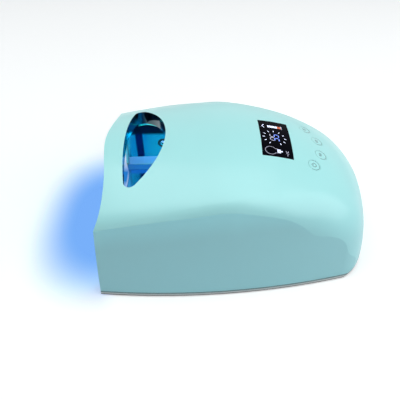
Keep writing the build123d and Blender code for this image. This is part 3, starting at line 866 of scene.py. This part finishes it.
class Marks:
    """Thin printed or lit shapes that lie on a surface."""

    TYPE_SCALE = 1.4
    ARC_STEP = 9.0
    LEAST_STEPS = 8

    def __init__(self, name: str, surface: Surface, thickness: float = 0.04 * MM) -> None:
        """Starts an empty sheet of marks.

        Args:
            name: what the piece is called.
            surface: where the marks lie.
            thickness: how far they reach outside the surface, and as far inside it.
        """
        self.name = name
        self.surface = surface
        self.thickness = thickness
        self.shapes: list[list[Point2]] = []

    def bar(self, start: Point2, end: Point2, width: float) -> None:
        """Adds a straight bar.

        Args:
            start: the middle of one end.
            end: the middle of the other end.
            width: how wide it is drawn.
        """
        along = Vector((end[0] - start[0], end[1] - start[1])).normalized() * (width / 2)
        side = (-along[1], along[0])
        self.shapes.append([(start[0] - side[0], start[1] - side[1]), (end[0] - side[0], end[1] - side[1]),
                            (end[0] + side[0], end[1] + side[1]), (start[0] + side[0], start[1] + side[1])])

    def line(self, points: list[Point2], width: float) -> None:
        """Adds a line of even width from point to point."""
        for start, end in zip(points, points[1:]):
            self.bar(start, end, width)

    def ring(self, centre: Point2, radius: float, width: float, start: float = 0.0,
             turn: float = 360.0) -> None:
        """Adds an arc as short quads.

        Args:
            centre: the middle of the arc.
            radius: the radius of its middle line.
            width: how wide it is drawn.
            start: where it starts, in degrees from the right.
            turn: how far it goes round, in degrees.
        """
        steps = max(self.LEAST_STEPS, int(abs(turn) / self.ARC_STEP))
        ways = []
        for i in range(steps + 1):
            angle = math.radians(start + turn * i / steps)
            ways.append((math.cos(angle), math.sin(angle)))
        inner, outer = radius - width / 2, radius + width / 2
        for a, b in zip(ways, ways[1:]):
            self.shapes.append([(centre[0] + reach * way[0], centre[1] + reach * way[1])
                                for reach, way in ((inner, a), (outer, a), (outer, b), (inner, b))])

    def number(self, text: str, height: float) -> None:
        """Adds a plain number in the built-in typeface, in the middle of the sheet.

        Args:
            text: the number.
            height: how tall its figures are.
        """
        curve = bpy.data.curves.new(self.name + "_type", "FONT")
        curve.body, curve.size, curve.resolution_u = text, height * self.TYPE_SCALE, 3
        writer = bpy.data.objects.new(curve.name, curve)
        mesh = bpy.data.meshes.new_from_object(writer)
        points = [v.co.copy() for v in mesh.vertices]
        x, y = [(min(p[i] for p in points) + max(p[i] for p in points)) / 2 for i in (0, 1)]
        for face in mesh.polygons:
            self.shapes.append([(points[i].x - x, points[i].y - y) for i in face.vertices])
        bpy.data.objects.remove(writer)
        bpy.data.meshes.remove(mesh)
        bpy.data.curves.remove(curve)

    def build(self, finish: Finish, body: Body) -> bpy.types.Object:
        """Makes the marks as closed slabs that lie on the surface.

        Args:
            finish: what they are printed or lit with.
            body: the body they ride on.

        Returns:
            The finished piece.
        """
        work = bmesh.new()
        for shape in self.shapes:
            outside = [work.verts.new(self.surface.place(spot, self.thickness)) for spot in shape]
            inside = [work.verts.new(self.surface.place(spot, -self.thickness)) for spot in shape]
            work.faces.new(outside)
            work.faces.new(inside[::-1])
            for i, corner in enumerate(outside):
                after = (i + 1) % len(outside)
                work.faces.new([corner, inside[i], inside[after], outside[after]])
        bmesh.ops.recalc_face_normals(work, faces=work.faces)
        return piece_of(self.name, work, finish, body)


class Casing:
    """Outer shell with its handle cover, the base under it, screws and feet."""

    def build(self) -> None:
        """Gives each piece of the casing its finish."""
        FINISHES["shell"].dress_nodes("outer_shell")
        FINISHES["handle"].dress_nodes("handle_cover")
        FINISHES["base"].dress_nodes("base_frame")
        FINISHES["steel"].dress_nodes("base_screws")
        FINISHES["rubber"].dress_nodes("rubber_feet")


def plate_frame(node: str) -> tuple[Vector, Vector]:
    """Middle and normal of a flat CAD plate, from the spread of its points.

    Args:
        node: the plate's node.

    Returns:
        The middle, and the direction in which it is thinnest.
    """
    points = np.array([v.co for v in frame["nodes"][node].data.vertices])
    middle = points.mean(0)
    thinnest = np.linalg.svd(points - middle, full_matrices=False)[2][-1]
    return Vector(middle), Vector(thinnest)


def loose_parts(node: str) -> list[Vector]:
    """Finds the separate solids of a CAD node.

    Args:
        node: the CAD node's name.

    Returns:
        The middle of each solid's box.
    """
    work = bmesh.new()
    work.from_mesh(frame["nodes"][node].data)
    bmesh.ops.remove_doubles(work, verts=work.verts, dist=0.01 * MM)
    left = set(work.verts)
    middles = []
    while left:
        found = [left.pop()]
        for vert in found:
            for edge in vert.link_edges:
                other = edge.other_vert(vert)
                if other in left:
                    left.remove(other)
                    found.append(other)
        low = Vector([min(v.co[i] for v in found) for i in range(3)])
        high = Vector([max(v.co[i] for v in found) for i in range(3)])
        middles.append((low + high) / 2)
    work.free()
    return middles


@dataclass
class HandTunnel:
    """Mirror liner, the lamps in it, their boards, the hand sensor and the floor tray."""

    groups: tuple[tuple[str, str], ...] = (("top_leds", "led_board_top"), ("left_leds", "led_board_left"),
                                           ("right_leds", "led_board_right"))
    die_side: float = 0.8 * MM
    die_pitch: float = 1.15 * MM
    die_rows: int = 3
    die_thickness: float = 0.15 * MM
    rim_radius: float = 5.2 * MM
    rim_width: float = 2.9 * MM
    rim_thickness: float = 0.15 * MM
    light_size: Span = (110.0 * MM, 90.0 * MM)
    light_drop: float = 6.0 * MM
    light_power: float = 0.4
    light_color: Color = (0.2, 0.92, 0.95)

    def dress(self) -> None:
        """Gives the tunnel's CAD pieces their finish."""
        FINISHES["liner"].dress_nodes("reflector_liner")
        FINISHES["tray"].dress_nodes("floor_tray")
        FINISHES["nickel"].dress_nodes("tray_magnets", "base_magnets")
        FINISHES["lens"].dress_nodes(*[lamps for lamps, _ in self.groups])
        FINISHES["board"].dress_nodes(*[board for _, board in self.groups])
        FINISHES["black"].dress_nodes("hand_sensor")

    def lamp_places(self, lamps: str, board: str) -> list[Surface]:
        """Where each lamp of a group sits on the liner.

        Args:
            lamps: the node with the lamps' lenses.
            board: the node of the board that carries them.

        Returns:
            A place for each lamp, whose normal points into the tunnel.
        """
        liner = tree_of("reflector_liner")
        middle, normal = plate_frame(board)
        places = []
        for lamp in loose_parts(lamps):
            inward = normal if (lamp - middle).dot(normal) > 0 else -normal
            side = inward.orthogonal().normalized()
            places.append(Surface(lamp, side, inward.cross(side), liner))
        return places

    def build_dies(self, lamps: str, places: list[Surface]) -> None:
        """Puts a block of lit dies inside each lamp's lens.

        Args:
            lamps: the node with the lamps' lenses.
            places: where the lamps sit.
        """
        work = bmesh.new()
        size = Matrix.Diagonal((self.die_side, self.die_side, self.die_thickness, 1.0))
        steps = [(i - (self.die_rows - 1) / 2) * self.die_pitch for i in range(self.die_rows)]
        for place in places:
            turned = Matrix((place.right, place.up, place.normal)).transposed().to_4x4()
            turned.translation = place.centre
            for y in steps:
                for x in steps:
                    spot = turned @ Matrix.Translation((x, y, 0.0)) @ size
                    bmesh.ops.create_cube(work, size=1.0, matrix=spot)
        piece_of(lamps + "_dies", work, FINISHES["die"], Body.HOUSING)

    def build_rims(self, lamps: str, places: list[Surface]) -> None:
        """Lays a flat black rim round each lamp on the liner.

        Args:
            lamps: the node with the lamps' lenses.
            places: where the lamps sit.
        """
        for number, place in enumerate(places):
            rim = Marks(f"{lamps}_rim_{number}", place, self.rim_thickness)
            rim.ring((0.0, 0.0), self.rim_radius, self.rim_width)
            rim.build(FINISHES["black"], Body.HOUSING)

    def build(self) -> None:
        """Builds and dresses the whole tunnel, with the light that its lamps throw down."""
        self.dress()
        places = {lamps: self.lamp_places(lamps, board) for lamps, board in self.groups}
        for lamps in places:
            self.build_dies(lamps, places[lamps])
        for lamps in places:
            self.build_rims(lamps, places[lamps])
        low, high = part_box("led_board_top")
        under = Vector(((low.x + high.x) / 2, (low.y + high.y) / 2, low.z - self.light_drop))
        area_light("tunnel_light", self.light_size, self.light_power, self.light_color, under)


@dataclass
class DisplayPanel:
    """The black display and its lit signs, read from the back of the lamp."""

    line_width: float = 0.36 * MM
    ring_centre: Point2 = (-1.5 * MM, 1.2 * MM)
    ring_radius: float = 10.1 * MM
    dash_length: float = 2.1 * MM
    dash_width: float = 0.62 * MM
    dashes: int = 12
    dark_dash: int = 6
    digit_height: float = 8.0 * MM
    digit_width: float = 4.0 * MM
    digit_gap: float = 1.5 * MM
    digit_slant: float = 0.1
    segment_width: float = 0.75 * MM
    segment_gap_share: float = 0.65
    bulb_centre: Point2 = (-20.6 * MM, 6.3 * MM)
    bulb_radius: float = 5.0 * MM
    bulb_gap: float = 35.0
    cap_drop: float = 6.25 * MM
    cap_taper: float = 0.85
    cap_lines: int = 4
    cap_pitch: float = 0.792 * MM
    cap_line_width: float = 0.54 * MM
    foot_drop: float = 3.6432 * MM
    foot_radius: float = 0.468 * MM
    foot_width: float = 0.864 * MM
    battery_centre: Point2 = (17.0 * MM, 1.2 * MM)
    battery_width: float = 4.6 * MM
    battery_length: float = 17.6 * MM
    battery_tip: Span = (-0.6 * MM, 1.3 * MM)
    battery_tip_spread: float = 1.3
    battery_tip_width: float = 0.576 * MM
    battery_line_width: float = 0.324 * MM
    battery_bars: int = 7
    low_bars: int = 2
    battery_fill: float = 0.76
    bar_share: float = 0.78
    bar_inset: float = 0.432 * MM
    corner_sign: Point2 = (-21.6 * MM, -8.9 * MM)
    corner_dash: Span = (-3.6 * MM, -1.8 * MM)
    corner_dash_width: float = 0.55 * MM
    corner_stroke: Point2 = (0.3 * MM, 1.2 * MM)
    corner_stroke_x: float = -0.6 * MM
    corner_loop_x: float = 2.0 * MM
    corner_loop_radius: float = 1.1 * MM
    corner_width: float = 0.5 * MM
    face_up: float = 0.5
    segments: dict[str, str] = field(default_factory=lambda: {"9": "abcdfg", "5": "acdfg"})

    def surface(self) -> Surface:
        """The display's face. Its reader stands at the back, so right is -X.

        Returns:
            The surface.
        """
        polygons = frame["nodes"]["display_window"].data.polygons
        faces = [p for p in polygons if p.normal.z > self.face_up]
        normal = sum((p.normal * p.area for p in faces), Vector()).normalized()
        return Surface.on_node("display_window", READING_RIGHT, normal)

    def draw_ring(self, marks: Marks) -> None:
        """Adds the ring of dashes, apart from the dark one.

        Args:
            marks: the sheet to draw on.
        """
        x, y = self.ring_centre
        inner, outer = self.ring_radius - self.dash_length / 2, self.ring_radius + self.dash_length / 2
        for i in range(self.dashes):
            if i != self.dark_dash:
                angle = math.tau * i / self.dashes
                way = (math.cos(angle), math.sin(angle))
                marks.bar((x + way[0] * inner, y + way[1] * inner), (x + way[0] * outer, y + way[1] * outer),
                          self.dash_width)

    def draw_digit(self, upper: Marks, lower: Marks, digit: str, side: int) -> None:
        """Adds one seven-segment digit, its upper strokes on one sheet and its lower ones on the other.

        Args:
            upper: the sheet of the upper strokes.
            lower: the sheet of the middle and lower strokes.
            digit: which digit.
            side: -1 for the left digit and 1 for the right one.
        """
        half, tall = self.digit_width / 2, self.digit_height / 2
        x = self.ring_centre[0] + side * (self.digit_width + self.digit_gap) / 2
        y = self.ring_centre[1]
        corners = {"nw": (-half, tall), "ne": (half, tall), "w": (-half, 0.0), "e": (half, 0.0),
                   "sw": (-half, -tall), "se": (half, -tall)}
        strokes = {"a": ("nw", "ne"), "b": ("ne", "e"), "c": ("e", "se"), "d": ("sw", "se"), "e": ("w", "sw"),
                   "f": ("nw", "w"), "g": ("w", "e")}
        for name in self.segments[digit]:
            start, end = [Vector(corners[corner]) for corner in strokes[name]]
            gap = (end - start).normalized() * self.segment_width * self.segment_gap_share
            drawn = [(p.x + p.y * self.digit_slant + x, p.y + y) for p in (start + gap, end - gap)]
            (upper if name in "abf" else lower).bar(drawn[0], drawn[1], self.segment_width)

    def draw_bulb(self, marks: Marks, outline: Marks) -> None:
        """Adds a bulb.

        Args:
            marks: the sheet for its hatched cap.
            outline: the sheet for its round head and tapered neck.
        """
        x, y = self.bulb_centre
        gap, width = self.bulb_gap, self.line_width
        outline.ring(self.bulb_centre, self.bulb_radius, width, start=gap - 90.0, turn=360.0 - 2 * gap)
        neck_half = self.bulb_radius * math.sin(math.radians(gap))
        neck_y = y - self.bulb_radius * math.cos(math.radians(gap))
        cap_y, cap_half = y - self.cap_drop, neck_half * self.cap_taper
        for side in (-1, 1):
            outline.bar((x + side * neck_half, neck_y), (x + side * cap_half, cap_y), width)
        for i in range(self.cap_lines):
            level = cap_y - i * self.cap_pitch
            marks.bar((x - cap_half, level), (x + cap_half, level), self.cap_line_width)
        marks.ring((x, cap_y - self.foot_drop), self.foot_radius, self.foot_width)

    def draw_battery(self, marks: Marks, low_marks: Marks) -> None:
        """Adds the battery: its side and foot lines, its pointed tip and its level bars.

        Args:
            marks: the sheet for the outline and the upper bars.
            low_marks: the sheet for the lowest bars.
        """
        x, y = self.battery_centre
        half, tall = self.battery_width / 2, self.battery_length / 2
        marks.line([(x - half, y - tall), (x + half, y - tall), (x + half, y + tall)],
                   self.battery_line_width)
        tip_half = half * self.battery_tip_spread
        tip_y, tip_top = y + tall + self.battery_tip[0], y + tall + self.battery_tip[1]
        marks.line([(x - tip_half, tip_y), (x, tip_top), (x + tip_half, tip_y)], self.battery_tip_width)
        pitch = self.battery_length * self.battery_fill / self.battery_bars
        bar_half = half - self.bar_inset
        for number in range(self.battery_bars):
            level = y - tall + self.line_width + pitch * (number + 0.5)
            sheet = low_marks if number < self.low_bars else marks
            sheet.bar((x - bar_half, level), (x + bar_half, level), pitch * self.bar_share)

    def draw_corner_sign(self, marks: Marks) -> None:
        """Adds the small sign in the corner: a dash, a stroke and a small loop.

        Args:
            marks: the sheet to draw on.
        """
        x, y = self.corner_sign
        marks.bar((x + self.corner_dash[0], y), (x + self.corner_dash[1], y), self.corner_dash_width)
        stroke_x, (lean, tall) = x + self.corner_stroke_x, self.corner_stroke
        marks.bar((stroke_x - lean, y - tall), (stroke_x + lean, y + tall), self.corner_width)
        marks.ring((x + self.corner_loop_x, y), self.corner_loop_radius, self.corner_width, start=50.0,
                   turn=260.0)

    def build(self) -> None:
        """Dresses the display and lays its signs on it."""
        FINISHES["display"].dress_nodes("display_window")
        FINISHES["black"].dress_nodes("display_module")
        FINISHES["board"].dress_nodes("display_board")
        face = self.surface()
        white = Marks("display_signs", face)
        blue = Marks("display_blue_signs", face)
        red = Marks("display_level_signs", face)
        dim = Marks("display_dim_signs", face)
        self.draw_ring(white)
        self.draw_bulb(white, dim)
        self.draw_battery(white, red)
        self.draw_digit(dim, blue, "9", -1)
        self.draw_digit(dim, blue, "5", 1)
        self.draw_corner_sign(dim)
        for marks, tone in ((white, "white"), (blue, "blue"), (red, "red"), (dim, "dim")):
            marks.build(FINISHES["sign_" + tone], Body.HOUSING)


@dataclass
class ButtonRow:
    """Four flush caps, each with a small printed mark, their switches and board."""

    number_height: float = 3.36 * MM
    sign_radius: float = 2.1 * MM
    sign_drop: float = 0.2 * MM
    stroke: Span = (0.1 * MM, 2.604 * MM)
    line_width: float = 0.5 * MM
    # painted shade: a dark ring at the cap's edge, the shadow of the gap round it, in the print's colour
    rim_radius: float = 5.5 * MM
    rim_width: float = 0.35 * MM
    print_thickness: float = 0.02 * MM
    numbers: dict[Body, str] = field(default_factory=lambda: {
        Body.BUTTON_30: "30", Body.BUTTON_60: "60", Body.BUTTON_99: "99"})

    def press_normal(self, body: Body) -> Vector:
        """Straight out of a cap, against the way it is pressed."""
        joint = next(j for j in frame["joints"] if j["child"] == body.value)
        return -Vector(joint["axis"]).normalized()

    def mark(self, body: Body) -> None:
        """Prints one cap's number, or the power sign, and paints a dark ring round its rim as the shadow of
        the gap.

        Args:
            body: the cap's body.
        """
        face = Surface.on_node(body.value, READING_RIGHT, self.press_normal(body))
        marks = Marks(body.value + "_mark", face, self.print_thickness)
        if body in self.numbers:
            marks.number(self.numbers[body], self.number_height)
        else:
            marks.ring((0.0, -self.sign_drop), self.sign_radius, self.line_width, start=120.0, turn=300.0)
            marks.bar((0.0, self.stroke[0]), (0.0, self.stroke[1]), self.line_width)
        # painted shade round the cap's edge
        marks.ring((0.0, 0.0), self.rim_radius, self.rim_width)
        marks.build(FINISHES["print"], body)

    def build(self) -> None:
        """Dresses the caps and what they press, and prints the marks."""
        for body in (*self.numbers, Body.POWER):
            FINISHES["buttons"].dress_nodes(body.value)
            self.mark(body)
        FINISHES["board"].dress_nodes("button_board")
        FINISHES["black"].dress_nodes("button_switches")


class PowerPack:
    """Cells, their cradle and clamps, the main board and the charge socket."""

    def build(self) -> None:
        """Gives each piece its finish."""
        FINISHES["wrap"].dress_nodes("battery_cells")
        FINISHES["cradle"].dress_nodes("battery_cradle", "battery_clamps")
        FINISHES["board"].dress_nodes("main_board")
        FINISHES["black"].dress_nodes("power_parts", "charge_socket")


def seen_plainly(sheet: Sheet) -> Socket:
    """Picks the rays that show the background: from the camera, and through gloss and glass.

    Args:
        sheet: the sheet to draw on.

    Returns:
        The socket that is 1 for those rays.
    """
    rays = sheet.add("LightPath").outputs
    either = sheet.math("MAXIMUM", rays["Is Camera Ray"], rays["Is Glossy Ray"])
    return sheet.math("MAXIMUM", either, rays["Is Transmission Ray"])


@dataclass
class Studio:
    """Plain pale floor, soft light and the camera of the photograph."""

    sensor_width: float = 36.0
    focal_pixels: float = 489.59
    picture_pixels: float = 400.0
    azimuth: float = 90.152
    elevation: float = 41.783
    distance: float = 499.513 * MM
    target: Point2 = (-35.906 * MM, 24.613 * MM)
    light_size: float = 1.6
    light_distance: float = 1.6
    soft_lights: tuple[tuple[str, tuple[float, float, float], float, Color], ...] = (
        ("overhead", (0.0, 0.0, 1.0), 12.5, (1.0, 1.0, 1.0)),
        ("behind", (0.35, 1.0, 0.85), 15.5, (0.95, 1.0, 1.0)),
        ("in_front", (0.0, -1.0, 1.0), 8.5, (0.92, 1.0, 1.0)),
    )
    sky_color: Color = (0.55, 0.6, 0.9)
    sky_strength: float = 0.03
    floor_size: float = 8.0
    floor_color: Color = (0.5, 0.51, 0.64)
    shown_color: Color = (0.9, 0.9, 0.9)
    shown_lift: float = 0.3
    # painted light: a blue pool of the lamps' light laid on the floor as emission
    glow_reach: float = 72.0 * MM
    glow_half_width: float = 100.0 * MM
    glow_roundness: float = 2.5
    glow_core: float = 0.55
    glow_edge: float = 1.3
    glow_under: float = 15.0 * MM
    glow_color: Color = (0.188, 0.434, 0.956)
    # painted light and shade: a deeper blue under the far side of the front rim
    rim_glow_x: float = -68.0 * MM
    rim_glow_fades_x: Span = (8.0 * MM, 34.0 * MM)
    rim_glow_fades_y: Span = (4.0 * MM, 8.0 * MM)
    rim_glow_color: Color = (0.02, 0.2, 0.6)

    def camera(self) -> None:
        """Sets the camera where the photograph was taken from."""
        turn, rise = math.radians(self.azimuth), math.radians(self.elevation)
        back = Vector((math.sin(turn) * math.cos(rise), -math.cos(turn) * math.cos(rise), math.sin(rise)))
        right = Vector((math.cos(turn), math.sin(turn), 0.0))
        lens = bpy.data.cameras.new("camera")
        lens.sensor_width = self.sensor_width
        lens.lens = self.focal_pixels * self.sensor_width / self.picture_pixels
        lens.clip_start, lens.clip_end = 0.01, 50.0
        holder = add_object("camera", lens)
        holder.location = Vector((0.0, *self.target)) + back * self.distance
        holder.rotation_mode = "QUATERNION"
        holder.rotation_quaternion = Matrix((right, back.cross(right), back)).transposed().to_quaternion()
        bpy.context.scene.camera = holder

    def world(self) -> None:
        """A dim cool sky for the light, shown as white."""
        world = bpy.data.worlds.new("sky")
        world.use_nodes = True
        sheet = Sheet(world.node_tree)
        sky = {"Color": (*self.sky_color, 1.0), "Strength": self.sky_strength}
        lit = sheet.add("Background", sky).outputs[0]
        shown = sheet.add("Background", {"Color": (*WHITE, 1.0), "Strength": 1.0}).outputs[0]
        both = sheet.add("MixShader", {0: seen_plainly(sheet), 1: lit, 2: shown}).outputs[0]
        sheet.add("OutputWorld", {"Surface": both})
        bpy.context.scene.world = world

    def glow_masks(self, sheet: Sheet) -> tuple[Socket, Socket]:
        """Where the lamps' light is painted on the floor.

        Args:
            sheet: the sheet to draw on.

        Returns:
            The socket of the soft rounded patch of painted light in front of the hand opening, and that of
            the deeper blue under the far side of the front rim, painted light in the rim's shade.
        """
        place = sheet.position()
        ahead = sheet.math("SUBTRACT", cad_box[0].y, place["Y"])
        power = self.glow_roundness
        parts = [sheet.math("POWER", sheet.math("DIVIDE", distance, reach), power) for distance, reach in (
            (sheet.math("MAXIMUM", ahead, 0.0), self.glow_reach),
            (sheet.math("ABSOLUTE", place["X"]), self.glow_half_width))]
        far = sheet.math("POWER", sheet.math("ADD", *parts), 1.0 / power)
        patch = sheet.product(sheet.fade(far, self.glow_core, self.glow_edge),
                              sheet.spread(ahead, 0.0, 1.0, -self.glow_under, 0.0))
        from_rim = sheet.math("ABSOLUTE", ahead)
        sideways = sheet.math("ABSOLUTE", sheet.math("SUBTRACT", place["X"], self.rim_glow_x))
        under_rim = sheet.product(sheet.spread(from_rim, 1.0, 0.0, *self.rim_glow_fades_y),
                                  sheet.spread(sideways, 1.0, 0.0, *self.rim_glow_fades_x))
        return patch, under_rim

    def floor(self) -> None:
        """A white floor that keeps the object's shadow and shows the lamps' light as painted light."""
        half = self.floor_size / 2
        mesh = bpy.data.meshes.new("floor")
        corners = [(-half, -half, 0), (half, -half, 0), (half, half, 0), (-half, half, 0)]
        mesh.from_pydata(corners, [], [(0, 1, 2, 3)])
        floor = add_object("floor", mesh)
        made = bpy.data.materials.new("floor")
        made.use_nodes = True
        sheet = Sheet(made.node_tree)
        patch, under_rim = self.glow_masks(sheet)
        cloth = sheet.add("BsdfDiffuse", {"Color": (*self.floor_color, 1.0)}).outputs[0]
        pale = sheet.add("BsdfDiffuse", {"Color": (*self.shown_color, 1.0)}).outputs[0]
        white = sheet.add("Emission", {"Color": (*WHITE, 1.0), "Strength": self.shown_lift}).outputs[0]
        plain = sheet.add("AddShader", {0: pale, 1: white}).outputs[0]
        # painted light: the blue pool and the deeper blue under the rim are shown as emission
        tone = sheet.blend(under_rim, self.glow_color, self.rim_glow_color)
        blue = sheet.add("Emission", {"Color": tone}).outputs[0]
        glow = sheet.math("MAXIMUM", patch, under_rim)
        shown = sheet.add("MixShader", {0: glow, 1: plain, 2: blue}).outputs[0]
        both = sheet.add("MixShader", {0: seen_plainly(sheet), 1: cloth, 2: shown}).outputs[0]
        sheet.add("OutputMaterial", {"Surface": both})
        mesh.materials.append(made)

    def lights(self) -> None:
        """Large soft lights overhead, behind and in front."""
        for name, way, power, color in self.soft_lights:
            place = Vector(way).normalized() * self.light_distance
            holder = area_light(name, (self.light_size, self.light_size), power, color, place)
            holder.rotation_mode = "QUATERNION"
            holder.rotation_quaternion = holder.location.to_track_quat("Z", "Y")

    def build(self) -> None:
        """Sets the whole studio up."""
        self.world()
        self.floor()
        self.lights()
        self.camera()
        bpy.context.scene.view_settings.view_transform = "Standard"
        log.info("studio set")


def main() -> None:
    """Builds the lamp's sub-assemblies in order, then the studio."""
    logging.basicConfig(level=logging.INFO)
    for part in (Casing(), HandTunnel(), DisplayPanel(), ButtonRow(), PowerPack(), Studio()):
        part.build()


if __name__ == "__main__":
    main()
